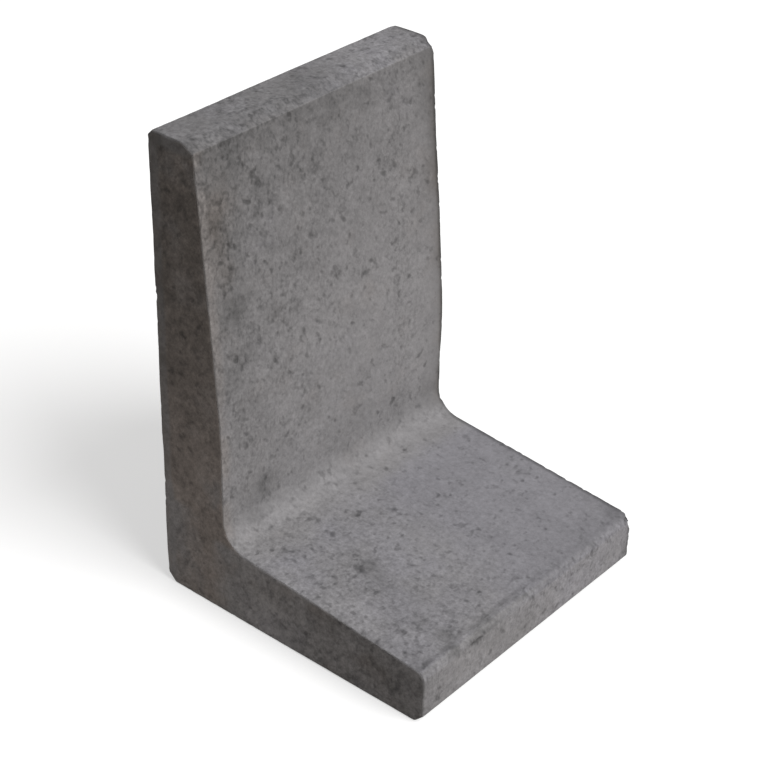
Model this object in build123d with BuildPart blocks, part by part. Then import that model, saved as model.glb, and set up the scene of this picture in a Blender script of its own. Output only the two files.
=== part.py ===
# L-shaped precast concrete retaining-wall block, cast in one piece.
# The upright stem leans back on its inner side and the foot thins towards its toe.
# X runs from the wall face to the toe, Y along the wall and Z up.
# The origin is at the middle of the footprint, on the floor.

import os

from build123d import *

# Overall sizes, in millimetres
block_height = 600.0  # floor to crest
block_width = 400.0  # along the wall, end to end
foot_length = 400.0  # wall face to toe

# Section of the stem and the foot
stem_crest = 67.0  # stem thickness at the crest
stem_root = 97.0  # stem thickness below the knee
knee_height = 255.0  # height where the leaning inner face turns upright
foot_root = 99.5  # foot thickness where it meets the stem
foot_toe = 72.0  # foot thickness at the toe

# Rounds and bevels of the section
root_fillet = 35.0  # inner corner between stem and foot
knee_round = 900.0  # long gentle bend of the inner face
toe_round = 12.0  # upper edge of the toe
base_bevel = 12.0  # heel and toe edges on the floor
crest_bevel_depth = 14.0  # inner edge of the crest, measured across the top
crest_bevel_drop = 9.0  # and measured down the inner face
back_bevel = 7.0  # outer edge of the crest

# Arrises round the two end faces
end_round = 2.5

# Corners of the section before its edges are eased, as (x, z)
wall_x = -foot_length / 2
toe_x = foot_length / 2
heel = (wall_x, 0)
toe_base = (toe_x, 0)
toe_top = (toe_x, foot_toe)
root = (wall_x + stem_root, foot_root)
knee = (wall_x + stem_root, knee_height)
crest_inner = (wall_x + stem_crest, block_height)
crest_back = (wall_x, block_height)


with BuildPart() as block:
    with BuildSketch(Plane.XZ) as section:

        def at(corner):
            return section.vertices().sort_by_distance(corner)[0]

        with BuildLine():
            Polyline(heel, toe_base, toe_top, root, knee, crest_inner, crest_back, close=True)
        make_face()
        crest = section.edges().sort_by(Axis.Y)[-1]
        chamfer(at(crest_inner), crest_bevel_depth, crest_bevel_drop, reference=crest)
        chamfer(at(crest_back), back_bevel)
        chamfer(at(heel), base_bevel)
        chamfer(at(toe_base), base_bevel)
        fillet(at(toe_top), toe_round)
        fillet(at(root), root_fillet)
        fillet(at(knee), knee_round)
    extrude(amount=block_width / 2, both=True)
    ends = block.faces().filter_by(Plane.XZ)
    fillet(ends.edges(), end_round)

block.part.label = "concrete_block"

os.makedirs("parts", exist_ok=True)
export_step(block.part, "parts/concrete_block.step")
print("volume", round(block.part.volume / 1e9, 5), "m3, box", block.part.bounding_box().size)
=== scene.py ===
import math

import bpy
import numpy as np
from mathutils import Matrix, Vector


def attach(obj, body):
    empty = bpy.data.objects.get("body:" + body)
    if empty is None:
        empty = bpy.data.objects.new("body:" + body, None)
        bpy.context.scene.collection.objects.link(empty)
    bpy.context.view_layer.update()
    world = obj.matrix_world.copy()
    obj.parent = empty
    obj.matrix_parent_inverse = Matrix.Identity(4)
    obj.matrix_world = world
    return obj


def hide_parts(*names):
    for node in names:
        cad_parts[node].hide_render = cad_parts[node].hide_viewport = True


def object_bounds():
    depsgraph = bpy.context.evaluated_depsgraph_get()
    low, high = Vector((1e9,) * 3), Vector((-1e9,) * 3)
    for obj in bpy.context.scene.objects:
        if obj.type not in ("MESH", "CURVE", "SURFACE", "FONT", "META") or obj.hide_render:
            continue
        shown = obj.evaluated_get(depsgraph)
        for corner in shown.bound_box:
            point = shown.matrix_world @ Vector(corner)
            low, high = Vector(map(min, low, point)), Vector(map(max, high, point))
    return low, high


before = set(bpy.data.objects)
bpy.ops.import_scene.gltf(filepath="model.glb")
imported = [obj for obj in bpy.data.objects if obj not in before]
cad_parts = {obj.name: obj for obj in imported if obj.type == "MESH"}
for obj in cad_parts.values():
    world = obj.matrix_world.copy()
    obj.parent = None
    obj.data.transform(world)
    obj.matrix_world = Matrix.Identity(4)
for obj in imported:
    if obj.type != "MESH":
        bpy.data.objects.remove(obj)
cadLow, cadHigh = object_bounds()
print("frame loaded, box", [round(v, 3) for v in (*cadLow, *cadHigh)])

# Cast block: one L section carried along the wall, with its ends closed

block = {
    "node": "concrete_block",
    "stemCrest": 0.067,  # stem thickness at the crest
    "stemRoot": 0.097,  # and below the knee
    "kneeHeight": 0.255,  # where the leaning inner face turns upright
    "footRoot": 0.0995,  # foot thickness at the stem
    "footToe": 0.072,  # and at the toe
    "rootFillet": 0.035,
    "kneeRound": 0.9,
    "toeRound": 0.012,
    "baseBevel": 0.012,
    "crestDepth": 0.014,  # inner bevel of the crest, across the top
    "crestDrop": 0.009,  # and down the inner face
    "backBevel": 0.007,
    "bevelEase": 0.0028,  # how round the corners of the crest's bevels have worn
    "baseEase": 0.006,  # and of the bevels on the floor
    "crestEase": 0.012,  # and the upper corner of the crest's inner bevel
    "endRound": 0.0025,  # arrises round the two ends
    "stemRows": 150,  # grid counts: down the stem, along the foot, across it, along the wall
    "footRows": 100,
    "acrossRows": 26,
    "wallRows": 138,
    "bendWeight": 0.022,  # metres of plain face that one radian of bend counts as when the grid is spread
    "arcSteps": 24,  # points on each arc of the section
    "endSteps": 5,  # and on each quarter turn round an end
}


def smoothStep(value, low, high):
    # 0 below low, 1 above high, and an S curve between them
    part = np.clip((value - low) / (high - low), 0, 1)
    return part * part * (3 - 2 * part)


def bell(value, middle, width, power=2):
    # 1 in the middle, falling to both sides as exp(-(distance / width)^power)
    return np.exp(-(((value - middle) / width) ** power))


def blend(first, second, share):
    # first where the share is 0, second where it is 1, and a straight line between them
    return first + (second - first) * share


def varied(field, levels):
    # The first level, plus the second times a noise or another field
    return levels[0] + levels[1] * field


def easedOutline(corners, radii, steps):
    # Closed polygon with an arc at each corner: the arc touches both sides at radius * tan(turn / 2)
    # from the corner, and its points turn evenly from one side's normal to the next side's.
    ahead = np.roll(corners, -1, axis=0) - corners
    ahead = ahead / np.linalg.norm(ahead, axis=1, keepdims=True)
    before = np.roll(ahead, 1, axis=0)
    cross = before[:, 0] * ahead[:, 1] - before[:, 1] * ahead[:, 0]
    turn = np.arctan2(cross, np.sum(before * ahead, axis=1))
    reach = radii * np.tan(np.abs(turn) / 2)
    bulge = np.sign(turn) * radii
    normalIn = np.stack([before[:, 1], -before[:, 0]], axis=1)  # outside an anticlockwise ring
    centre = corners - before * reach[:, None] - normalIn * bulge[:, None]
    share = np.linspace(0, 1, steps)
    angle = np.arctan2(normalIn[:, 1], normalIn[:, 0])[:, None] + turn[:, None] * share
    normals = np.stack([np.cos(angle), np.sin(angle)], axis=2)
    points = centre[:, None] + normals * bulge[:, None, None]
    bend = np.repeat(np.abs(turn)[:, None] / (steps - 1), steps, axis=1)
    bend[:, 0] = 0
    return points.reshape(-1, 2), normals.reshape(-1, 2), bend.ravel()


def sectionRing(b, low, high):
    # The L outline, anticlockwise in x and z, from the middle of the crest's back bevel: down the wall,
    # along the base, up the toe, back over the foot, up the stem and over the crest. Points are spread
    # evenly over length + bendWeight * bend within each of its six stretches.
    wallX, toeX, top = low.x, high.x, high.z
    rootX = wallX + b["stemRoot"]
    lean = (b["stemRoot"] - b["stemCrest"]) / (top - b["kneeHeight"])
    bevel, back = b["baseBevel"], b["backBevel"]
    corners = np.array([
        (wallX + back, top), (wallX, top - back),
        (wallX, bevel), (wallX + bevel, 0.0),
        (toeX - bevel, 0.0), (toeX, bevel),
        (toeX, b["footToe"]),
        (rootX, b["footRoot"]),
        (rootX, b["kneeHeight"]),
        (wallX + b["stemCrest"] + lean * b["crestDrop"], top - b["crestDrop"]),
        (wallX + b["stemCrest"] - b["crestDepth"], top),
    ])
    ease, base = b["bevelEase"], b["baseEase"]
    radii = np.array([
        ease, ease, base, base, base, base,
        b["toeRound"], b["rootFillet"], b["kneeRound"], ease, b["crestEase"],
    ])
    points, normals, bend = easedOutline(corners, radii, b["arcSteps"])
    points = np.vstack([points, points[:1]])
    normals = np.vstack([normals, normals[:1]])
    length = np.linalg.norm(np.diff(points, axis=0), axis=1)
    spread = np.concatenate([[0], np.cumsum(length + b["bendWeight"] * np.append(bend[1:], 0))])

    # stretches start and end at the middles of the bevels and rounds, given by their first and last corners
    arc = b["arcSteps"]
    joints = ((0, 1), (2, 3), (4, 5), (6, 6), (7, 7), (9, 10))
    marks = [(spread[first * arc] + spread[(last + 1) * arc - 1]) / 2 for first, last in joints]
    marks.append(marks[0] + spread[-1])
    stem, foot, across = b["stemRows"], b["footRows"], b["acrossRows"]
    counts = (stem, foot, across, foot, stem, across)
    stretches = zip(marks[:-1], marks[1:], counts)
    place = np.concatenate([np.linspace(start, end, n, endpoint=False) for start, end, n in stretches])
    place = place % spread[-1]
    ring = np.stack([np.interp(place, spread, column) for column in points.T], axis=1)
    out = np.stack([np.interp(place, spread, column) for column in normals.T], axis=1)
    return ring, out / np.linalg.norm(out, axis=1, keepdims=True)


def wallPath(b, low, high):
    # Places along the wall: a quarter turn at each end, where the section shrinks by
    # endRound * (1 - cos) while it moves by endRound * sin, and an even run between them.
    half, r = (high.y - low.y) / 2, b["endRound"]
    quarter = np.linspace(math.pi / 2, 0, b["endSteps"])
    run = np.linspace(-half + r, half - r, b["wallRows"])[1:-1]
    y = np.concatenate([-half + r - r * np.sin(quarter), run, half - r + r * np.sin(quarter[::-1])])
    angle = np.concatenate([-quarter, 0 * run, quarter[::-1]])
    return y, angle


def blockSurface(b, low, high):
    # Rings of the section along the wall, each shrunk along its normals at the rounded ends, and two end
    # faces, where each point lies between the outer and the inner side of the section (a Coons patch).
    ring, out = sectionRing(b, low, high)
    y, angle = wallPath(b, low, high)
    inset = b["endRound"] * (1 - np.cos(angle))
    rows, count = len(y), len(ring)
    flat = ring[None] - out[None] * inset[:, None, None]
    points = np.stack([flat[..., 0], np.repeat(y[:, None], count, 1), flat[..., 1]], axis=2)
    normals = np.stack([
        out[None, :, 0] * np.cos(angle)[:, None],
        np.repeat(np.sin(angle)[:, None], count, 1),
        out[None, :, 1] * np.cos(angle)[:, None],
    ], axis=2)
    index = np.arange(rows * count).reshape(rows, count)
    around = np.roll(index, -1, axis=1)
    faces = [np.stack([index[:-1], index[1:], around[1:], around[:-1]], axis=2).reshape(-1, 4)]

    # the ring's six stretches as the four sides of an end face
    long, across = b["stemRows"] + b["footRows"], b["acrossRows"]
    step = np.arange(count)
    outer = step[: long + 1]
    toe = step[long : long + across + 1]
    inner = step[long + across : 2 * long + across + 1][::-1]
    crest = np.append(step[2 * long + across :], 0)[::-1]
    u = np.linspace(0, 1, long + 1)[:, None, None]
    v = np.linspace(0, 1, across + 1)[None, :, None]
    allPoints, allNormals = [points.reshape(-1, 3)], [normals.reshape(-1, 3)]
    for row, side in ((0, -1.0), (rows - 1, 1.0)):
        edge = points[row]
        sides = blend(edge[outer][:, None], edge[inner][:, None], v)
        ends = blend(edge[crest][None], edge[toe][None], u)
        atCrest = blend(edge[outer[0]], edge[inner[0]], v)
        atToe = blend(edge[outer[-1]], edge[inner[-1]], v)
        patch = sides + ends - blend(atCrest, atToe, u)
        grid = np.empty((long + 1, across + 1), int)
        grid[:, 0], grid[:, -1] = index[row][outer], index[row][inner]
        grid[0], grid[-1] = index[row][crest], index[row][toe]
        start = sum(len(p) for p in allPoints)
        grid[1:-1, 1:-1] = start + np.arange((long - 1) * (across - 1)).reshape(long - 1, across - 1)
        allPoints.append(patch[1:-1, 1:-1].reshape(-1, 3))
        allNormals.append(np.tile([0.0, side, 0.0], (len(allPoints[-1]), 1)))
        quads = np.stack([grid[:-1, :-1], grid[1:, :-1], grid[1:, 1:], grid[:-1, 1:]], axis=2)
        quads = quads.reshape(-1, 4)
        faces.append(quads if side < 0 else quads[:, ::-1])
    return np.vstack(allPoints), np.vstack(allNormals), np.vstack(faces)


def outlineDistance(points, b, low, high):
    # Distance in the section plane from each point to the nearest straight side of the L
    rootX = low.x + b["stemRoot"]
    corners = np.array([
        (low.x, high.z), (low.x, 0), (high.x, 0), (high.x, b["footToe"]), (rootX, b["footRoot"]),
        (rootX, b["kneeHeight"]), (low.x + b["stemCrest"], high.z),
    ])
    start, along = corners[None], (np.roll(corners, -1, axis=0) - corners)[None]
    offset = points[:, None, ::2] - start
    share = np.clip(np.sum(offset * along, axis=2) / np.sum(along**2, axis=2), 0, 1)
    return np.min(np.linalg.norm(offset - share[..., None] * along, axis=2), axis=1)


facing = {
    # parts of a normal between which a point sets in as one of a face
    "outward": (0.6, 0.95),
    "level": (0.7, 0.97),
    "crest": (0.5, 0.8),
    "bevel": (0.15, 0.5),
    "fillet": (0.1, 0.3),  # of the outward part times the upward part
    "round": (0.08, 0.3),
    "end": (0.5, 0.95),
}


def faceMasks(f, points, normals, b):
    # Which face each point is on, from 0 to 1, by its normal, its height and its side of the middle
    x, z = points[:, 0], points[:, 2]
    outward, sideways, upward = normals.T
    standing = smoothStep(outward, *f["outward"])
    turning = outward * upward
    above = z > b["kneeHeight"]
    crest = smoothStep(upward, *f["crest"]) * above
    return {
        "stem": standing * (z > b["footRoot"]),
        "toe": standing * (x > 0) * (z < b["footRoot"]),
        "foot": smoothStep(upward, *f["level"]) * (z < b["kneeHeight"]),
        "crest": crest,
        "bevel": crest * smoothStep(outward, *f["bevel"]),
        "fillet": smoothStep(turning, *f["fillet"]) * (x < 0) * (z < b["kneeHeight"]),
        "round": smoothStep(turning, *f["round"]) * (x > 0),
        "end": smoothStep(np.abs(sideways), *f["end"]),
    }


# Relief of the cast surface. A number added to the points of a noise only shifts it against the others.


class GradientNoise:
    # Gradient noise: a random slope at each corner of a cubic lattice, blended smoothly between corners
    size = 256  # slopes before the lattice repeats
    gain = 1.6  # brings it to about -1 to 1
    shift = 7.3  # from one layer to the next

    def __init__(self, seed):
        rng = np.random.default_rng(seed)
        self.order = rng.permutation(self.size)
        slopes = rng.normal(size=(self.size, 3))
        self.slopes = slopes / np.linalg.norm(slopes, axis=1, keepdims=True)

    def at(self, points, cell):
        scaled = points / cell
        corner = np.floor(scaled).astype(int)
        inside = scaled - corner
        ease = inside**3 * (inside * (inside * 6 - 15) + 10)
        total = np.zeros(len(points))
        last = self.size - 1
        for step in np.ndindex(2, 2, 2):
            step = np.array(step)
            i, j, k = ((corner + step) & last).T
            slope = self.slopes[self.order[(self.order[(self.order[i] + j) & last] + k) & last]]
            weight = np.prod(np.where(step == 1, ease, 1 - ease), axis=1)
            total += weight * np.sum(slope * (inside - step), axis=1)
        return total * self.gain

    def layers(self, points, cell, count):
        # sum of noises, each at half the cell and half the height of the one before
        return sum(self.at(points + self.shift * n, cell / 2**n) / 2**n for n in range(count))


relief = {
    "seed": 41,
    "wave": (0.11, 0.0006),  # cell and height of the slow unevenness of the cast faces
    "ripple": (0.016, 0.00018),  # and of the skin
    # worn stretches of the arrises and nicks in them
    "arrisWear": {"cell": 0.040, "depth": 0.0005, "levels": (-0.2, 0.9)},
    "arrisNick": {"cell": 0.007, "depth": 0.0011, "levels": (0.2, 0.8)},
    "arrisReach": 0.0040,  # how far from the arris the wear runs out
    "farWear": 1.8,  # how much rougher the arrises of the far end are
    # open pits: one in some of the cells, on flat faces clear of the arrises
    "pits": {"cell": 0.017, "radius": (0.0022, 0.0040), "depth": 0.0011, "share": 0.12},
    "pitFlat": (0.96, 0.99),  # largest part of the normal where pits set in
    "pitClear": (0.004, 0.010),  # and distance from the arris
    # breaks at the far corners of the toe and the crest: x, y, z, radius, depth and darkness, the painted
    # shade in the break
    "chips": (
        (0.199, 0.199, 0.070, 0.013, 0.0036, 0.5), (0.200, 0.200, 0.059, 0.006, 0.0030, 0.5),
        (-0.135, 0.200, 0.593, 0.013, 0.0024, 0.0), (-0.198, 0.200, 0.598, 0.011, 0.0030, 0.0),
    ),
    "chipRagged": (0.006, 0.3),  # cell and height of the noise in their outlines
    "chipSlope": 0.8,  # share of the radius over which a break deepens
    "downward": -0.3,  # upward part of the normals of what stands on the floor
    "floorWear": 0.4,  # share of the relief there, all inwards
}

toeWear = {
    "nearEnd": (-0.10, 0.12),  # metres from the middle between which the heavier wear sets in
    "zone": 0.03,  # how far in from the toe the wear goes
    "sideways": 0.5,  # sideways part of the normal at which it stops
    "crease": {"inset": 0.0110, "width": 0.0028, "depth": 0.0011, "far": 0.3},  # and its share at the far end
    "jog": {"y": -0.138, "half": 0.008, "inset": 0.0028},  # where the crease jogs inwards, and how far
    "wander": (0.06, 0.0022),  # cell and reach of its wandering
    "gaps": {"cell": 0.05, "levels": (-0.9, 0.2), "least": 0.5},  # stretches where it is faint
    "grain": {"cell": 0.012, "levels": (0.75, 0.5)},  # its middle depth and fine unevenness
    # ridges scraped along the toe, weaker on its face and at the far end
    "scrape": {"spacing": 0.0042, "height": 0.00022, "squeeze": 0.12, "onset": 0.004, "far": 0.4},
    "scrapeFace": {"least": 0.35, "upward": (0.02, 0.2)},
    # along the wall, height, half length and half height of the nicks
    "nicks": (
        (-0.142, 0.072, 0.006, 0.004), (-0.108, 0.063, 0.016, 0.0032),
        (-0.036, 0.074, 0.007, 0.003), (0.150, 0.074, 0.007, 0.003),
    ),
    "nickDepth": 0.0018,
    "nickInward": 150,  # how soon a nick ends inwards
    "nickRagged": (0.007, 0.9),  # cell and height of the noise in its outline
    "nickSlope": 0.8,
}


def scatteredPits(points, pits, share, seed):
    # One possible pit in each cubic cell, at a random place and size; it is 1 - (distance / radius)^2 deep,
    # and less where it is small. A cell holds one if its draw is under the share at that point.
    draws = 4096
    strides = (73, 179, 283)  # spread neighbouring cells over the draws
    cell = pits["cell"]
    largest = pits["radius"][1]
    table = np.random.default_rng(seed).random((draws, 5))
    home = np.floor(points / cell).astype(int)
    depth = np.zeros(len(points))
    for step in np.ndindex(3, 3, 3):
        near = home + np.array(step) - 1
        draw = table[near @ strides & (draws - 1)]
        radius = blend(*pits["radius"], draw[:, 3] ** 2)
        gap = np.linalg.norm(points - (near + draw[:, :3]) * cell, axis=1) / radius
        bowl = np.clip(1 - gap**2, 0, 1) * (0.5 + 0.5 * radius / largest)
        depth = np.maximum(depth, np.where(draw[:, 4] < share, bowl, 0))
    return depth


def arrisRelief(r, points, arrisGap, noise):
    # Worn stretches and nicks: S curves of a noise times exp(-(distance from the arris / reach)^2), rougher
    # at the far end. Returns the push along the normals and the wear.
    stretch, nick = r["arrisWear"], r["arrisNick"]
    worn = smoothStep(noise.at(points + 1.7, stretch["cell"]), *stretch["levels"])
    nicked = smoothStep(noise.at(points + 5.9, nick["cell"]), *nick["levels"])
    near = bell(arrisGap, 0, r["arrisReach"])
    rough = np.where(points[:, 1] > 0, r["farWear"], 1.0)
    push = -near * rough * (worn * stretch["depth"] + nicked * nick["depth"])
    return push, near * np.maximum(worn, nicked)


def toeRelief(t, points, normals, noise, b, high):
    # Crease on the foot: a bell across it, deepest at the near end. Ridges beyond it: a noise drawn out
    # along the wall. Nicks: 1 - (distance / half size)^2, ragged. Returns the push and each of the three.
    x, y, z = points.T
    lengthwise = points * [0, 1, 0]
    nearEnd = smoothStep(-y, *t["nearEnd"])
    onToe = (z < b["footRoot"]) * (x > high.x - t["zone"]) * (np.abs(normals[:, 1]) < t["sideways"])

    crease, jog, gaps, grain = t["crease"], t["jog"], t["gaps"], t["grain"]
    cell, reach = t["wander"]
    wander = noise.layers(lengthwise + 2.2, cell, 3) * reach
    inward = high.x - x - (b["footToe"] - z).clip(0, None) + wander  # metres in from the toe's upper edge
    inset = crease["inset"] + jog["inset"] * smoothStep(y, jog["y"] - jog["half"], jog["y"] + jog["half"])
    faint = smoothStep(noise.layers(lengthwise + 4.4, gaps["cell"], 3), *gaps["levels"])
    uneven = varied(noise.layers(points + 4.9, grain["cell"], 2), grain["levels"])
    creased = bell(inward, inset, crease["width"]) * onToe * blend(gaps["least"], 1, faint) * uneven
    creased = creased * blend(crease["far"], 1, nearEnd)

    scrape, side = t["scrape"], t["scrapeFace"]
    scraped = smoothStep(inset - inward, 0, scrape["onset"]) * onToe * (z > b["baseBevel"])
    scraped = scraped * blend(side["least"], 1, smoothStep(normals[:, 2], *side["upward"]) * nearEnd)
    ridges = noise.layers(points * [1, scrape["squeeze"], 1] + 6.6, scrape["spacing"], 2)
    ridges = ridges * blend(scrape["far"], 1, nearEnd)

    cell, height = t["nickRagged"]
    ragged = height * noise.layers(points + 9.1, cell, 3)
    gap = np.min([
        ((y - nickY) / longHalf) ** 2 + ((z - nickZ) / tallHalf) ** 2 + t["nickInward"] * (high.x - x)
        for nickY, nickZ, longHalf, tallHalf in t["nicks"]
    ], axis=0)
    nicked = smoothStep(1 - gap + ragged, 0, t["nickSlope"])

    push = scraped * ridges * scrape["height"] - creased * crease["depth"] - nicked * t["nickDepth"]
    return push, creased, scraped, nicked


def chipRelief(r, points, noise):
    # Broken corners: S curves of 1 - distance / radius, ragged. Returns the push and the breaks' darkness,
    # which is painted shade.
    cell, height = r["chipRagged"]
    ragged = height * noise.layers(points + 8.8, cell, 2)
    push = np.zeros(len(points))
    dark = np.zeros(len(points))
    for x, y, z, radius, depth, darkness in r["chips"]:
        gap = np.linalg.norm(points - [x, y, z], axis=1) / radius
        bite = smoothStep(1 - gap + ragged, 0, r["chipSlope"])
        push -= bite * depth
        dark = np.maximum(dark, darkness * bite)
    return push, dark


# Weathering, painted shade and painted light, worked out at the points of the mesh and handed to the finish
# as attributes

pitting = {
    "rising": (0.3, 0.95),  # shares of the height between which the upper values set in
    "stem": 0.10,
    "stemNear": (0.08, 0.33),  # added at the stem's near end, low and high
    "stemFar": (0.6, 0.3),  # taken off at its far end, low and high
    "farArris": {"along": (0.90, 1.0), "less": 0.5},
    "column": {"y": 0.125, "half": 0.025, "more": 0.3},  # a pitted column of the stem
    "foot": {"near": 0.40, "far": -0.45, "along": (0.1, 0.9)},
    "end": {"least": -0.3, "more": 0.6, "top": 0.5, "toe": 0.4, "atToe": (0.0, 0.12)},
    "ledges": {"toe": 0.12, "crest": 0.28, "bevel": 0.28, "fillet": -0.2},
    "backStrip": (0.011, 0.019),  # distance from the back and the crest where an end's smooth strip stops
}


def backInside(strip, points, low, high):
    # 0 within a strip of the back edge and the crest, 1 further in
    return smoothStep(np.minimum(points[:, 0] - low.x, high.z - points[:, 2]), *strip)


def pitMap(p, points, face, low, high):
    # How pitted each point is, from -1 to 1: each face's value, which changes along the wall and upwards,
    # times its mask, added up
    x, y, z = points.T
    along = (y - low.y) / (high.y - low.y)
    rising = smoothStep((z - low.z) / (high.z - low.z), *p["rising"])
    column, arris, foot, end = p["column"], p["farArris"], p["foot"], p["end"]
    onStem = p["stem"] + blend(*p["stemNear"], rising) * (1 - along) - blend(*p["stemFar"], rising) * along
    onStem = onStem + column["more"] * bell(y, column["y"], column["half"])
    onStem = onStem - arris["less"] * smoothStep(along, *arris["along"])
    onFoot = blend(foot["near"], foot["far"], smoothStep(along, *foot["along"]))
    onEnd = end["more"] + end["top"] * rising + end["toe"] * smoothStep(x, *end["atToe"])
    onEnd = onEnd * backInside(p["backStrip"], points, low, high) + end["least"]
    ledges = sum(more * face[name] for name, more in p["ledges"].items())
    return face["stem"] * onStem + face["foot"] * onFoot + face["end"] * onEnd + ledges


grimeAndShade = {
    "cloudCell": 0.05,  # of the noise that breaks up the dirt; a cloud is a middle level and a change by it
    "farHalf": (0.42, 0.62),  # shares of the wall between which its far half sets in
    # stem: band under the crest's bevel, thinner at the far end
    "crestBand": {"dark": 0.62, "reach": 0.026, "edge": 0.0015, "thinning": 0.7, "cloud": (0.8, 0.3)},
    # tall stain, cell and reach of its wandering, and its patches
    "streak": {"dark": 0.19, "y": -0.155, "half": 0.020, "wander": (0.12, 0.012)},
    "streakPatch": {"cell": 0.07, "squeeze": 0.6, "levels": (-0.8, 0.5)},
    # darkening that sets in upwards, strongest at the near upper corner, and its upright grain
    "upperDarkening": {"dark": 0.70, "climb": 0.35, "levels": (-0.05, 0.95), "thinning": 0.3},
    "upperDarkeningGrain": {"cell": 0.035, "squeeze": 0.5, "cloud": (0.9, 0.1)},
    # along the far arris: reach at the root and at the crest, and shares of it on the other faces
    "farBand": {"dark": 0.92, "reach": (0.0075, 0.0185), "cloud": (0.9, 0.2)},
    "farShare": {"foot": 0.35, "toe": 0.2, "bevel": 0.4},
    "rootBand": {"dark": 0.20, "z": 0.135, "half": 0.035, "fillet": 0.7},  # and its share in the fillet
    # brown patch near the upper near corner, and how much dirt goes with it
    "corner": {"warm": 0.55, "y": -0.178, "wide": 0.028, "z": 0.50, "tall": 0.09, "dark": 0.30},
    "foot": 0.10,  # at the foot's near end
    "footTip": {"dark": 0.18, "x": (0.13, 0.18), "along": (0.5, 0.8)},  # at its far outer corner
    "toe": {"dark": 0.02, "cloud": 0.30, "farLess": 0.5},
    # rounded edge of the toe, and how much cleaner it is away from the middle
    "toeRound": {"dark": 0.42, "near": 0.45, "nearFrom": (0.06, 0.10), "far": 0.25, "farFrom": (0.05, 0.10)},
    "toeRoundCloud": 0.15,
    # ends: darker upwards, painted shade where the floor's bounce light fades, and patchier at the toe than
    # at the stem
    "end": {"foot": 0.02, "top": 0.94, "rising": (0.12, 0.76), "tip": 0.15, "cloud": (0.40, 0.65)},
    "endAtToe": (-0.05, 0.12),  # x between which an end's toe part sets in
    # painted shade below the arris of the foot, fading towards the floor, at the root and at the toe
    "endArris": {"dark": (0.08, 0.36), "x": (-0.1, 0.0), "z": (0.015, 0.085)},
    # crest: shares of its dirt at the near and the far end
    "crest": {"dark": 0.36, "share": (1.4, 0.1), "along": (0.50, 0.85), "cloud": 0.08},
    "crestBevel": 0.60,
    "spotCloud": (0.85, 0.3),
    # single dark spots: x, y, z, radius and strength
    "darkSpots": (
        (-0.115, -0.158, 0.391, 0.019, 0.75), (-0.104, -0.156, 0.270, 0.016, 0.30),
        (-0.103, -0.138, 0.147, 0.018, 0.60), (-0.103, -0.051, 0.208, 0.018, 0.15),
        (0.040, -0.103, 0.087, 0.016, 0.55), (0.068, -0.120, 0.084, 0.014, 0.40),
        (0.115, -0.111, 0.080, 0.014, 0.45), (0.138, -0.137, 0.078, 0.016, 0.60),
        (0.175, -0.133, 0.074, 0.013, 0.45), (0.162, -0.017, 0.075, 0.017, 0.35),
        (0.190, 0.193, 0.070, 0.018, 0.60), (0.198, -0.141, 0.072, 0.008, 0.80),
        (0.200, -0.106, 0.061, 0.010, 0.50),
        (0.182, -0.200, 0.042, 0.036, 0.80), (-0.127, -0.200, 0.183, 0.020, 0.16),
        (-0.120, -0.200, 0.292, 0.022, 0.16), (-0.196, -0.200, 0.228, 0.016, 0.25),
        (-0.147, 0.198, 0.596, 0.010, 0.50),
    ),
}

wearAndPaintedLight = {
    "cloud": (-1.2, 0.2),  # levels of the cloudy noise between which the wear sets in
    "farRim": {"dark": 1.0, "width": 0.0060},  # painted shade: dark line along the far arris, where its rounding turns from the light
    "paleStrip": {"pale": 0.85, "width": 0.0135},  # smooth strip along the near arris of the stem
    # worn lower corner of the crest's bevel
    "bevel": {"pale": 0.25, "above": 0.0015, "half": 0.0025, "outward": 0.3, "cloud": (-0.8, 0.5)},
    "clean": 0.6,  # how much of the dirt and painted shade pale wear takes away
    "toeBloom": 0.28,  # how much lighter the far half of the toe is
    # single light spots, the first five painted bounce light along the bottom of the near end: x, y, z,
    # radius and strength
    "lightSpots": (
        (-0.086, -0.200, 0.008, 0.028, 0.90), (-0.045, -0.200, 0.006, 0.030, 1.00),
        (-0.008, -0.200, 0.008, 0.030, 1.00), (-0.025, -0.200, 0.045, 0.045, 0.62),
        (-0.150, -0.200, 0.045, 0.045, 0.45), (0.200, -0.180, 0.040, 0.030, 0.25),
        (0.191, -0.126, 0.071, 0.009, 0.25), (0.191, -0.106, 0.071, 0.009, 0.35),
        (0.191, -0.086, 0.071, 0.009, 0.25), (-0.175, 0.122, 0.600, 0.036, 0.28),
        (0.058, -0.182, 0.085, 0.028, 0.30), (0.092, -0.186, 0.082, 0.028, 0.35),
        (-0.060, 0.196, 0.100, 0.028, 0.40),
    ),
}

tint = {
    "cloud": 0.25,  # how much the cloudy noise warms and cools the block, and the ends once more
    # ends: brown inside their smooth strip, and a little less so high up
    "end": {"warm": 0.75, "topLess": 0.2, "top": (0.5, 0.7), "strip": 0.15, "least": 0.15},
    # where that sets in, by height and by distance behind the middle
    "endRising": {"cloud": 0.08, "levels": (0.08, 0.25)},
    "endBack": {"share": 0.5, "behind": (0.085, 0.125)},
    "endFrom": (0.03, 0.10),
    "bounceLightCool": {"less": 0.4, "x": -0.1},  # the painted bounce light on the foot's end is less brown
    "olive": {"warm": 0.5, "reach": 0.012},  # along the far arris of the stem
    # bluish faces: how much on the near half, and how much more on the far half
    "cool": {"foot": (0.53, 0.45), "crest": (0.31, 0.16), "toe": (0.2, 0.35), "round": (0.1, 0.4)},
    "footFrom": (-0.08, -0.03),  # x between which the foot's blue sets in
}


def softSpots(points, spots):
    # Sum over round spots of strength * exp(-(distance from the centre / radius)^2)
    return sum(
        strength * np.exp(-np.sum((points - [x, y, z]) ** 2, axis=1) / radius**2)
        for x, y, z, radius, strength in spots
    )


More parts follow.
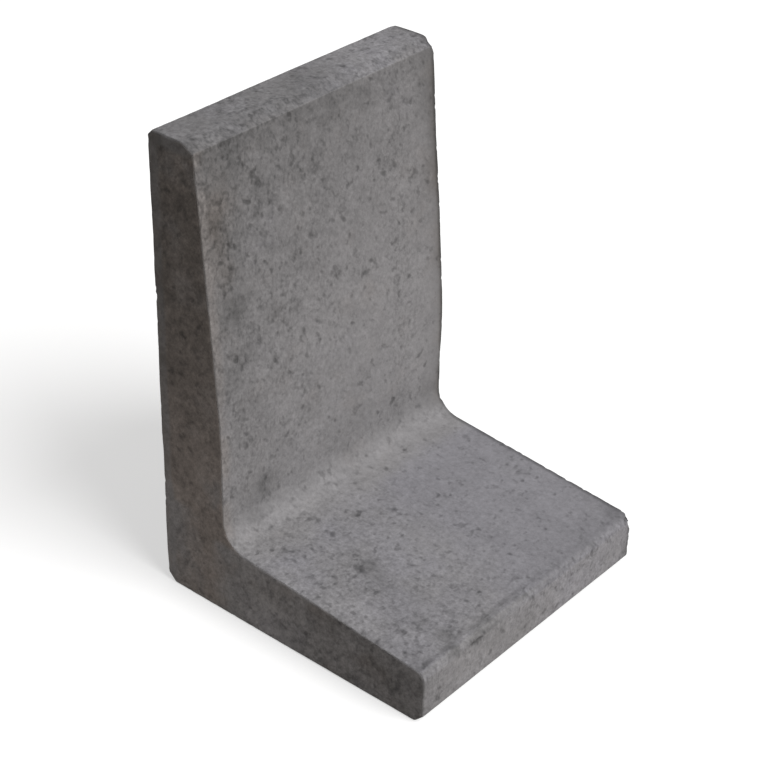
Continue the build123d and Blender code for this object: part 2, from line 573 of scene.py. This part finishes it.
def sharedFields(g, points, noise, low, high):
    # What several stains share: places as shares of the block, a cloudy noise, the far arris, which is
    # dark * exp(-distance / reach), and bells for the brown corner and above the root
    y, z = points[:, 1], points[:, 2]
    along = (y - low.y) / (high.y - low.y)
    rising = (z - low.z) / (high.z - low.z)
    cloud = noise.layers(points + 12.0, g["cloudCell"], 3)
    far, corner, root = g["farBand"], g["corner"], g["rootBand"]
    fade = np.exp(-(high.y - y) / blend(*far["reach"], rising))
    patch = bell(y, corner["y"], corner["wide"]) * bell(z, corner["z"], corner["tall"])
    return {
        "along": along,
        "rising": rising,
        "farHalf": smoothStep(along, *g["farHalf"]),
        "cloud": cloud,
        "far": far["dark"] * fade * varied(cloud, far["cloud"]),
        "corner": corner["warm"] * patch,
        "root": root["dark"] * bell(z, root["z"], root["half"]),
    }


def stemDarkening(g, points, at, noise, b, high):
    # Sum of a band that fades below the crest's bevel as exp(-distance / reach), a bell along the wall
    # broken into patches, a darkening that sets in upwards, the far arris, the root and the brown corner
    along = at["along"]
    band, streak, patch = g["crestBand"], g["streak"], g["streakPatch"]
    upperDarkening, grain = g["upperDarkening"], g["upperDarkeningGrain"]
    below = high.z - b["crestDrop"] - points[:, 2]  # metres below the crest's bevel
    underCrest = band["dark"] * np.exp(-below.clip(0, None) / band["reach"])
    underCrest = underCrest * smoothStep(below, -band["edge"], band["edge"])
    underCrest = underCrest * (1 - band["thinning"] * along) * varied(at["cloud"], band["cloud"])

    cell, reach = streak["wander"]
    wander = reach * noise.at(points * [0, 0, 1] + 21.0, cell)
    patches = noise.layers(points * [0, patch["squeeze"], 1] + 18.0, patch["cell"], 2)
    tallStain = streak["dark"] * bell(points[:, 1] - wander, streak["y"], streak["half"])
    tallStain = tallStain * smoothStep(patches, *patch["levels"])

    upright = noise.layers(points * [1, 1, grain["squeeze"]] + 15.0, grain["cell"], 3)
    darkerUp = upperDarkening["dark"] * smoothStep(at["rising"] - upperDarkening["climb"] * along, *upperDarkening["levels"])
    darkerUp = darkerUp * (1 - upperDarkening["thinning"] * along) * varied(upright, grain["cloud"])
    return underCrest + tallStain + darkerUp + at["far"] + at["root"] + g["corner"]["dark"] * at["corner"]


def endShadeAndDirt(g, points, at):
    # Painted shade, darker upwards as the floor's bounce light fades and below the arris of the foot, and
    # darker and patchier towards the toe
    x, z = points[:, 0], points[:, 2]
    end, arris = g["end"], g["endArris"]
    atToe = smoothStep(x, *g["endAtToe"])
    # upward and under are painted shade: the end is darker away from the floor's bounce light
    upward = blend(end["foot"], end["top"], smoothStep(at["rising"], *end["rising"]))
    under = blend(*arris["dark"], atToe) * smoothStep(x, *arris["x"]) * smoothStep(z, *arris["z"])
    return upward + under + end["tip"] * atToe + blend(*end["cloud"], atToe) * at["cloud"]


def dirtAndShadeMap(g, points, face, at, noise, b, high):
    # Each face's dirt, with painted shade on the ends, times its mask, added up and held to 0 to 1, and then
    # the single dark spots
    x, y = points[:, 0], points[:, 1]
    along, cloud, far = at["along"], at["cloud"], at["far"]
    tip, toe, edge, crest, share = (g[name] for name in ("footTip", "toe", "toeRound", "crest", "farShare"))
    onFoot = g["foot"] * (1 - along) * (1 + cloud) + share["foot"] * far
    onFoot = onFoot + tip["dark"] * smoothStep(x, *tip["x"]) * smoothStep(along, *tip["along"])
    onToe = toe["dark"] + toe["cloud"] * cloud * (1 - toe["farLess"] * at["farHalf"]) + share["toe"] * far
    cleaner = edge["near"] * smoothStep(-y, *edge["nearFrom"]) + edge["far"] * smoothStep(y, *edge["farFrom"])
    onRound = edge["dark"] * (1 - cleaner) + g["toeRoundCloud"] * cloud
    onCrest = crest["dark"] * blend(*crest["share"], smoothStep(along, *crest["along"]))
    onCrest = onCrest + crest["cloud"] * cloud
    onBevel = g["crestBevel"] - crest["dark"] + share["bevel"] * far
    # on the ends this includes painted shade, darker away from the floor's bounce light
    dirtAndShade = face["stem"] * stemDarkening(g, points, at, noise, b, high) + face["end"] * endShadeAndDirt(g, points, at)
    dirtAndShade = dirtAndShade + face["foot"] * onFoot + face["toe"] * onToe + face["round"] * onRound
    dirtAndShade = dirtAndShade + face["crest"] * onCrest + face["bevel"] * onBevel
    dirtAndShade = dirtAndShade + face["fillet"] * g["rootBand"]["fillet"] * at["root"]
    return dirtAndShade.clip(0, 1) + softSpots(points, g["darkSpots"]) * varied(cloud, g["spotCloud"])


def wearAndLightMap(w, points, normals, face, at, b, low, high):
    # Painted shade in a dark rim along the far arris, pale wear of the near one and the crest's bevel, and
    # light spots,
    # some of them painted bounce light: bells of the distance, broken up by the cloudy noise
    y = points[:, 1]
    cloud = at["cloud"]
    broken = smoothStep(cloud, *w["cloud"])
    rim, strip, bevel = w["farRim"], w["paleStrip"], w["bevel"]
    # painted shade along the far arris, where its rounding turns from the light
    dark = rim["dark"] * bell(y, high.y, rim["width"], 4) * (1 - face["end"]) * broken
    nearStrip = strip["pale"] * bell(y, low.y, strip["width"], 4) * face["stem"] * broken
    above = points[:, 2] - (high.z - b["crestDrop"])
    corner = bell(above, bevel["above"], bevel["half"]) * (normals[:, 0] > bevel["outward"])
    corner = bevel["pale"] * corner * smoothStep(cloud, *bevel["cloud"])
    # the light spots along the bottom of the near end are painted bounce light from the floor
    bloomAndBounceLight = softSpots(points, w["lightSpots"]) * broken + w["toeBloom"] * at["farHalf"] * face["toe"]
    return dark, np.clip(nearStrip + corner, 0, 1), bloomAndBounceLight


def warmthMap(t, p, points, face, at, bloomAndBounceLight, low, high):
    # Warmth from -1, bluish, to 1, brown: brown on the ends, in the stem's near upper corner and along its
    # far arris, bluish on the foot, the crest and the toe, most on their far half
    x, y = points[:, 0], points[:, 1]
    rising, cloud = at["rising"], at["cloud"]
    end, up, back, olive, cool = (t[name] for name in ("end", "endRising", "endBack", "olive", "cool"))
    upward = smoothStep(rising + up["cloud"] * cloud, *up["levels"])
    upward = np.maximum(upward, back["share"] * smoothStep(-x, *back["behind"]))
    brown = end["warm"] - end["topLess"] * smoothStep(rising, *end["top"])
    brown = brown * backInside(p["backStrip"], points, low, high) + end["strip"]
    onEnd = brown * upward * smoothStep(-x, *t["endFrom"]) + end["least"] + t["cloud"] * cloud
    onEnd = onEnd - t["bounceLightCool"]["less"] * bloomAndBounceLight * (x > t["bounceLightCool"]["x"])
    onStem = at["corner"] + olive["warm"] * np.exp(-(high.y - y) / olive["reach"])
    warmth = face["end"] * onEnd + face["stem"] * onStem + t["cloud"] * cloud
    mask = {**face, "foot": face["foot"] * smoothStep(x, *t["footFrom"])}
    return warmth - sum(varied(at["farHalf"], levels) * mask[name] for name, levels in cool.items())


marks = {
    "dark": {"pits": 0.25, "crease": 0.75, "nicks": 0.8},  # painted shade: what shows dark in pits, the crease and nicks, with the breaks and the far rim
    "flecked": (-0.5, 0.6),  # how pitted a face is where flecks set in, and how much fewer some have
    "fleckLess": {"foot": 0.6, "end": 0.6, "crest": 0.3},
    "flatEnd": 0.999,  # sideways part of the normal on the flat of an end
}


def linkedObject(name, data):
    # An object of some data, linked to the scene
    linked = bpy.data.objects.new(name, data)
    bpy.context.collection.objects.link(linked)
    return linked


def meshObject(name, points, faces, attributes):
    # A smooth mesh object of four-sided faces, with one number of each attribute at every point
    mesh = bpy.data.meshes.new(name)
    mesh.vertices.add(len(points))
    mesh.vertices.foreach_set("co", points.astype(np.float32).ravel())
    mesh.loops.add(faces.size)
    mesh.loops.foreach_set("vertex_index", faces.astype(np.int32).ravel())
    mesh.polygons.add(len(faces))
    mesh.polygons.foreach_set("loop_start", np.arange(0, faces.size, 4, dtype=np.int32))
    mesh.update(calc_edges=True)
    mesh.validate()
    mesh.polygons.foreach_set("use_smooth", np.ones(len(faces), bool))
    for attribute, values in attributes.items():
        layer = mesh.attributes.new(attribute, "FLOAT", "POINT")
        layer.data.foreach_set("value", values.astype(np.float32))
    return linkedObject(name, mesh)


def makeBlock(b, r, low, high):
    # The plain surface moved along its normals by the sum of all relief; stains and painted shade go by the
    # plain surface
    points, normals, faces = blockSurface(b, low, high)
    noise = GradientNoise(r["seed"])
    face = faceMasks(facing, points, normals, b)
    pitted = pitMap(pitting, points, face, low, high)
    onEnd = np.abs(normals[:, 1]) > marks["flatEnd"]
    endGap = (high.y - low.y) / 2 - np.abs(points[:, 1])
    arrisGap = np.where(onEnd, outlineDistance(points, b, low, high), endGap)

    # slow unevenness and skin, arrises, pits, toe and broken corners
    wave, ripple = r["wave"], r["ripple"]
    push = noise.at(points, wave[0]) * wave[1] + noise.layers(points + 3.1, ripple[0], 2) * ripple[1]
    arrisPush, worn = arrisRelief(r, points, arrisGap, noise)
    plain = smoothStep(np.max(np.abs(normals), axis=1), *r["pitFlat"]) * smoothStep(arrisGap, *r["pitClear"])
    pits = scatteredPits(points, r["pits"], r["pits"]["share"] * (1 + pitted), r["seed"] + 1) * plain
    toePush, crease, scraped, nicks = toeRelief(toeWear, points, normals, noise, b, high)
    chipPush, chip = chipRelief(r, points, noise)
    push = push + arrisPush - pits * r["pits"]["depth"] + toePush + chipPush
    push = np.where(normals[:, 2] < r["downward"], -r["floorWear"] * np.abs(push), push)

    at = sharedFields(grimeAndShade, points, noise, low, high)
    dirtAndShade = dirtAndShadeMap(grimeAndShade, points, face, at, noise, b, high)
    rim, pale, bloomAndBounceLight = wearAndLightMap(wearAndPaintedLight, points, normals, face, at, b, low, high)
    dark = marks["dark"]
    # painted shade, darkening the colour in the pits, the crease, the nicks and the breaks, and along the far
    # arris
    hollowShades = [dark["pits"] * pits, dark["crease"] * crease, dark["nicks"] * nicks, chip, rim]
    fleckLess = sum(less * face[name] for name, less in marks["fleckLess"].items())
    piece = meshObject("castBlock", points + normals * push[:, None], faces, {
        "worn": worn,
        "hollowShade": np.max(hollowShades, axis=0),
        "pitted": pitted,
        "flecked": smoothStep(pitted, *marks["flecked"]) * (1 - fleckLess),
        "scraped": scraped,
        "endFace": face["end"],
        # dirt, with painted shade on the ends, less where pale wear is
        "dirtAndShade": np.clip(dirtAndShade, 0, 1) * (1 - wearAndPaintedLight["clean"] * pale),
        "pale": pale,
        "bloomAndBounceLight": bloomAndBounceLight,
        "warmth": warmthMap(tint, pitting, points, face, at, bloomAndBounceLight, low, high),
    })
    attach(piece, "root")
    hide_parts(b["node"])
    print("block made:", len(points), "points,", 2 * len(faces), "triangles")
    return piece


castBlock = makeBlock(block, relief, cadLow, cadHigh)

# Finish of the concrete

white = (1.0, 1.0, 1.0, 1.0)
black = (0.0, 0.0, 0.0, 1.0)


class Wire:
    # A node socket that takes part in Python sums: each operator adds one Math node
    def __init__(self, tree, socket):
        self.tree = tree
        self.socket = socket

    def node(self, kind, settings, inputs, output=0):
        # Any node: its settings first, then values or wires for its sockets, by name or number
        new = self.tree.nodes.new(kind)
        for name, value in settings.items():
            setattr(new, name, value)
        free = [s for s in new.inputs if s.enabled]
        for key, value in inputs.items():
            socket = free[key] if isinstance(key, int) else next(s for s in free if s.name == key)
            if isinstance(value, Wire):
                self.tree.links.new(value.socket, socket)
            else:
                socket.default_value = value
        shown = [s for s in new.outputs if s.enabled]
        return Wire(self.tree, shown[output] if isinstance(output, int) else new.outputs[output])

    def math(self, operation, first, second):
        return self.node("ShaderNodeMath", {"operation": operation}, {0: first, 1: second})

    def __add__(self, other):
        return self.math("ADD", self, other)

    def __radd__(self, other):
        return self.math("ADD", other, self)

    def __sub__(self, other):
        return self.math("SUBTRACT", self, other)

    def __rsub__(self, other):
        return self.math("SUBTRACT", other, self)

    def __mul__(self, other):
        return self.math("MULTIPLY", self, other)

    def __rmul__(self, other):
        return self.math("MULTIPLY", other, self)

    def step(self, low, high):
        # 0 below low, 1 above high, S curve between
        sockets = {"Value": self, "From Min": low, "From Max": high}
        return self.node("ShaderNodeMapRange", {"interpolation_type": "SMOOTHSTEP"}, sockets)

    def mix(self, first, second):
        # the colour or vector first where this wire is 0, second where it is 1
        sockets = {"Factor": self, "A": first, "B": second}
        return self.node("ShaderNodeMix", {"data_type": "RGBA", "clamp_factor": True}, sockets)


concrete = {
    "grey": (0.2200, 0.2140, 0.2178, 1.0),
    "cool": (0.2128, 0.2080, 0.2232, 1.0),
    "brown": (0.230, 0.204, 0.190, 1.0),
    "worn": (0.219, 0.203, 0.196, 1.0),  # pale smooth strips
    "dirtAndShade": (0.46, 0.461, 0.455, 1.0),  # what full dirt and painted shade leave of the colour
    # noises: cells per metre, finer layers, share of each finer layer
    "broad": (12.0, 1.0, 0.5),
    "mottle": (30.0, 3.0, 0.7),
    "grain": (185.0, 2.0, 0.75),
    "cluster": (26.0, 2.0, 0.6),
    "smudge": (82.0, 2.0, 0.6),
    "pore": (114.0, 0.4, 0.5),
    "fleck": (250.0, 0.5, 0.5),
    "scrape": (260.0, 2.0, 0.6),
    "noiseMiddle": 0.5,  # what a noise is on average
    # how much each changes the brightness
    "lift": {"broad": 0.18, "mottle": 0.38, "grain": 0.92, "scrape": 0.5, "worn": 0.06, "bloomAndBounceLight": 0.30},
    "dark": {"smudge": 0.27, "pore": 0.42, "fleck": 0.36, "hollowShade": 0.6},
    "endLift": 0.2,  # how much more uneven the ends are
    "pittedLift": 0.7,  # and the grain where the block is pitted
    "gather": 0.30,  # how far smudges and pores keep to the clusters
    "gatherPitted": 0.06,  # and to where the block is pitted
    "gatherFlecks": 0.8,  # share of both for the flecks
    # of their noises, where they start and are full
    "levels": {"smudge": (0.56, 0.74), "pore": (0.56, 0.845), "fleck": (0.55, 0.78)},
    "dirtAndShadeLevels": (0.60, 0.40),  # of the mottling, from light to dark
    "dirtAndShadeShare": (0.82, 1.04),  # of the dirt and painted shade, where the mottling is light and where it is dark
    "fleckStretch": 1.7,  # how much taller than wide the flecks are
    "scrapeSqueeze": 0.12,  # how drawn out along the wall the scrapes are
    "skin": (-50.0, 1.30),  # turn about x, in degrees, and stretch of the skin along the wall
    "endSkin": (-50.0, 1.30),  # and about y on the ends
    "skinShift": (3.7, 1.9, 5.3),  # sets grain and smudges apart from mottling and pores
    "roughness": 0.88,
    "roughSpread": 0.12,  # of it, by the mottling
    "specular": 0.25,
    # fine relief by bump, in shares of its height in metres
    "bumpHeight": 0.001,
    "bump": {"mottle": 0.5, "grain": 0.12, "scrape": 0.3, "smudge": 0.3, "pore": 0.6},
}


def concreteFinish(c):
    # Colour = tone by warmth, wear, dirt and painted shade, times brightness: 1 + uneven noises, less
    # smudges, pores, flecks and the painted shade of hollows and the far arris, more on worn arrises, light
    # spots and painted bounce light
    material = bpy.data.materials.new("weatheredConcrete")
    material.use_nodes = True
    tree = material.node_tree
    shader = tree.nodes["Principled BSDF"]
    root = Wire(tree, None)
    place = root.node("ShaderNodeTexCoord", {}, {}, "Object")
    drawn = root.node("ShaderNodeMapping", {}, {"Vector": place, "Scale": (1.0, c["scrapeSqueeze"], 1.0)})
    tallScale = (1.0, 1.0, 1 / c["fleckStretch"])
    upright = root.node("ShaderNodeMapping", {}, {"Vector": place, "Scale": tallScale})

    def attributes(*names):
        # one wire for each attribute of the mesh
        return (root.node("ShaderNodeAttribute", {"attribute_name": name}, {}, "Fac") for name in names)

    def turned(start, rotation, scale):
        # the point, as a texture that starts elsewhere and is turned and stretched has it
        sockets = {"Vector": place, "Location": start, "Rotation": rotation, "Scale": scale}
        return root.node("ShaderNodeMapping", {"vector_type": "TEXTURE"}, sockets)

    def skinPlace(start):
        # turned and stretched one way on the faces along the wall and another way on the ends
        (turn, stretch), (endTurn, endStretch) = c["skin"], c["endSkin"]
        faces = turned(start, (math.radians(turn), 0.0, 0.0), (1.0, stretch, 1.0))
        ends = turned(start, (0.0, math.radians(endTurn), 0.0), (endStretch, 1.0, 1.0))
        return endFace.mix(faces, ends)

    def noise(name, vector):
        # a noise of the finish, from 0 to 1
        scale, detail, finer = c[name]
        sockets = {"Vector": vector, "Scale": scale, "Detail": detail, "Roughness": finer}
        return root.node("ShaderNodeTexNoise", {"noise_dimensions": "3D"}, sockets, "Fac")

    worn, hollowShade, pitted, scraped, endFace = attributes("worn", "hollowShade", "pitted", "scraped", "endFace")
    dirtAndShade, pale, warmth, bloomAndBounceLight, flecked = attributes("dirtAndShade", "pale", "warmth", "bloomAndBounceLight", "flecked")
    skin, moved = skinPlace((0.0, 0.0, 0.0)), skinPlace(c["skinShift"])
    broad, mottle, grain = noise("broad", skin), noise("mottle", skin), noise("grain", moved)
    scrape = noise("scrape", drawn)
    middle, lift, levels = c["noiseMiddle"], c["lift"], c["levels"]
    uneven = (grain - middle) * (1 + pitted * c["pittedLift"]) * lift["grain"]
    uneven = uneven + (mottle - middle) * lift["mottle"]
    uneven = uneven * (1 + endFace * c["endLift"]) + (broad - middle) * lift["broad"]
    uneven = uneven + (scrape - middle) * scraped * lift["scrape"]

    # smudges, pores and flecks are the peaks of three noises, and all keep to the same clusters
    gathered = (noise("cluster", moved) - middle) * c["gather"] + pitted * c["gatherPitted"]
    smudge = (noise("smudge", moved) + gathered).step(*levels["smudge"])
    pore = (noise("pore", skin) + gathered).step(*levels["pore"])
    pore = pore * pore
    fleck = (noise("fleck", upright) + gathered * c["gatherFlecks"]).step(*levels["fleck"]) * flecked

    # dirt and painted shade are stronger where the mottling is dark
    lightShare, darkShare = c["dirtAndShadeShare"]
    dirtyAndShaded = dirtAndShade * (lightShare + (darkShare - lightShare) * mottle.step(*c["dirtAndShadeLevels"]))

    coolTone = (0.0 - warmth).step(0.0, 1.0).mix(c["grey"], c["cool"])
    tone = pale.mix(warmth.step(0.0, 1.0).mix(coolTone, c["brown"]), c["worn"])
    tone = root.node(
        "ShaderNodeMix", {"data_type": "RGBA", "blend_type": "MULTIPLY"},
        {"Factor": 1.0, "A": tone, "B": dirtyAndShaded.mix(white, c["dirtAndShade"])},
    )
    value = (1 + uneven) * (1 + worn * lift["worn"]) * (1 + bloomAndBounceLight * lift["bloomAndBounceLight"])
    # the hollows' darkening is painted shade in pits, the crease, nicks, breaks and along the far arris
    for name, wire in (("smudge", smudge), ("pore", pore), ("fleck", fleck), ("hollowShade", hollowShade)):
        value = value * (1 - wire * c["dark"][name])
    colour = root.node("ShaderNodeVectorMath", {"operation": "SCALE"}, {"Vector": tone, "Scale": value})

    fine = c["bump"]
    height = mottle * fine["mottle"] + grain * fine["grain"] + scrape * scraped * fine["scrape"]
    height = height - smudge * fine["smudge"] - pore * fine["pore"]
    bump = root.node("ShaderNodeBump", {}, {"Strength": 1.0, "Distance": c["bumpHeight"], "Height": height})
    rough = (mottle - middle) * c["roughSpread"] + c["roughness"]
    for socket, wire in (("Base Color", colour), ("Roughness", rough), ("Normal", bump)):
        tree.links.new(wire.socket, shader.inputs[socket])
    shader.inputs["Specular IOR Level"].default_value = c["specular"]
    print("concrete finish made:", len(tree.nodes), "nodes")
    return material


castBlock.data.materials.append(concreteFinish(concrete))

# Studio: pale floor, white surround, one soft key lamp and a weak even fill

studio = {
    "floorSize": 40.0,
    "floorColour": (0.58, 0.58, 0.58, 1.0),
    "floorBounce": (0.33, 0.30, 0.27, 1.0),  # what the floor throws back at the block
    "floorLift": (0.52, 0.52, 0.52, 1.0),  # how far the camera sees the floor lifted towards white
    "fill": (0.28, 0.275, 0.27, 1.0),
    "keyFrom": (0.69, 0.08, 0.73),
    "keyDistance": 2.0,
    "keySpread": 40.0,  # degrees across, so its shadows are soft
    "keyStrength": 3.3,
}


def seenDirectly(root):
    # 1 for rays from the camera, off a mirror or through glass, 0 for those that light the block
    rays = ("Is Camera Ray", "Is Glossy Ray", "Is Transmission Ray")
    camera, mirrored, through = (root.node("ShaderNodeLightPath", {}, {}, name) for name in rays)
    return (camera + mirrored + through).step(0.0, 1.0)


def makeFloor(s):
    # Diffuse floor, with a glow added where it is seen directly, so that it comes out near white
    half = s["floorSize"] / 2
    corners = [(-half, -half, 0), (half, -half, 0), (half, half, 0), (-half, half, 0)]
    mesh = bpy.data.meshes.new("floor")
    mesh.from_pydata(corners, [], [(0, 1, 2, 3)])
    floor = linkedObject("floor", mesh)
    material = bpy.data.materials.new("paleFloor")
    material.use_nodes = True
    tree = material.node_tree
    tree.nodes.remove(tree.nodes["Principled BSDF"])
    root = Wire(tree, None)
    direct = seenDirectly(root)
    colour = direct.mix(s["floorBounce"], s["floorColour"])
    face = root.node("ShaderNodeBsdfDiffuse", {}, {"Color": colour})
    glow = direct.mix(black, s["floorLift"])
    lift = root.node("ShaderNodeEmission", {}, {"Color": glow, "Strength": 1.0})
    both = root.node("ShaderNodeAddShader", {}, {0: face, 1: lift})
    tree.links.new(both.socket, tree.nodes["Material Output"].inputs["Surface"])
    mesh.materials.append(material)


def makeSurround(s):
    # White where it is seen directly, the weak fill for the rays that light the block
    world = bpy.data.worlds.new("studio")
    bpy.context.scene.world = world
    world.use_nodes = True
    tree = world.node_tree
    colour = seenDirectly(Wire(tree, None)).mix(s["fill"], white)
    tree.links.new(colour.socket, tree.nodes["Background"].inputs["Color"])
    tree.nodes["Background"].inputs["Strength"].default_value = 1.0


def makeKey(s, low, high):
    # A wide sun that shines from keyFrom towards the middle of the block
    lamp = bpy.data.lights.new("keyLamp", "SUN")
    lamp.angle = math.radians(s["keySpread"])
    lamp.energy = s["keyStrength"]
    key = linkedObject("keyLamp", lamp)
    aim = Vector(s["keyFrom"]).normalized()
    key.location = (low + high) / 2 + s["keyDistance"] * aim
    key.rotation_mode = "QUATERNION"
    key.rotation_quaternion = (-aim).to_track_quat("-Z", "Y")


makeFloor(studio)
makeSurround(studio)
makeKey(studio, cadLow, cadHigh)
print("studio lit")

photoCamera = {
    "lens": 93.25,
    "sensor": 36.0,
    "eye": (1.222, -1.516, 1.499),
    "azimuth": 39.59,  # from the near end round towards the toe
    "elevation": 32.26,
    "roll": 1.31,
}


def makeCamera(p):
    # Back axis from azimuth and elevation, right axis level and then rolled about the back axis
    data = bpy.data.cameras.new("photoCamera")
    data.lens = p["lens"]
    data.sensor_width = p["sensor"]
    camera = linkedObject("photoCamera", data)
    a, e = math.radians(p["azimuth"]), math.radians(p["elevation"])
    back = Vector((math.sin(a) * math.cos(e), -math.cos(a) * math.cos(e), math.sin(e)))
    right = Matrix.Rotation(math.radians(p["roll"]), 3, back) @ Vector((math.cos(a), math.sin(a), 0))
    up = back.cross(right)
    camera.rotation_mode = "QUATERNION"
    camera.rotation_quaternion = Matrix((right, up, back)).transposed().to_quaternion()
    camera.location = p["eye"]
    bpy.context.scene.camera = camera


makeCamera(photoCamera)
bpy.context.scene.view_settings.view_transform = "Standard"
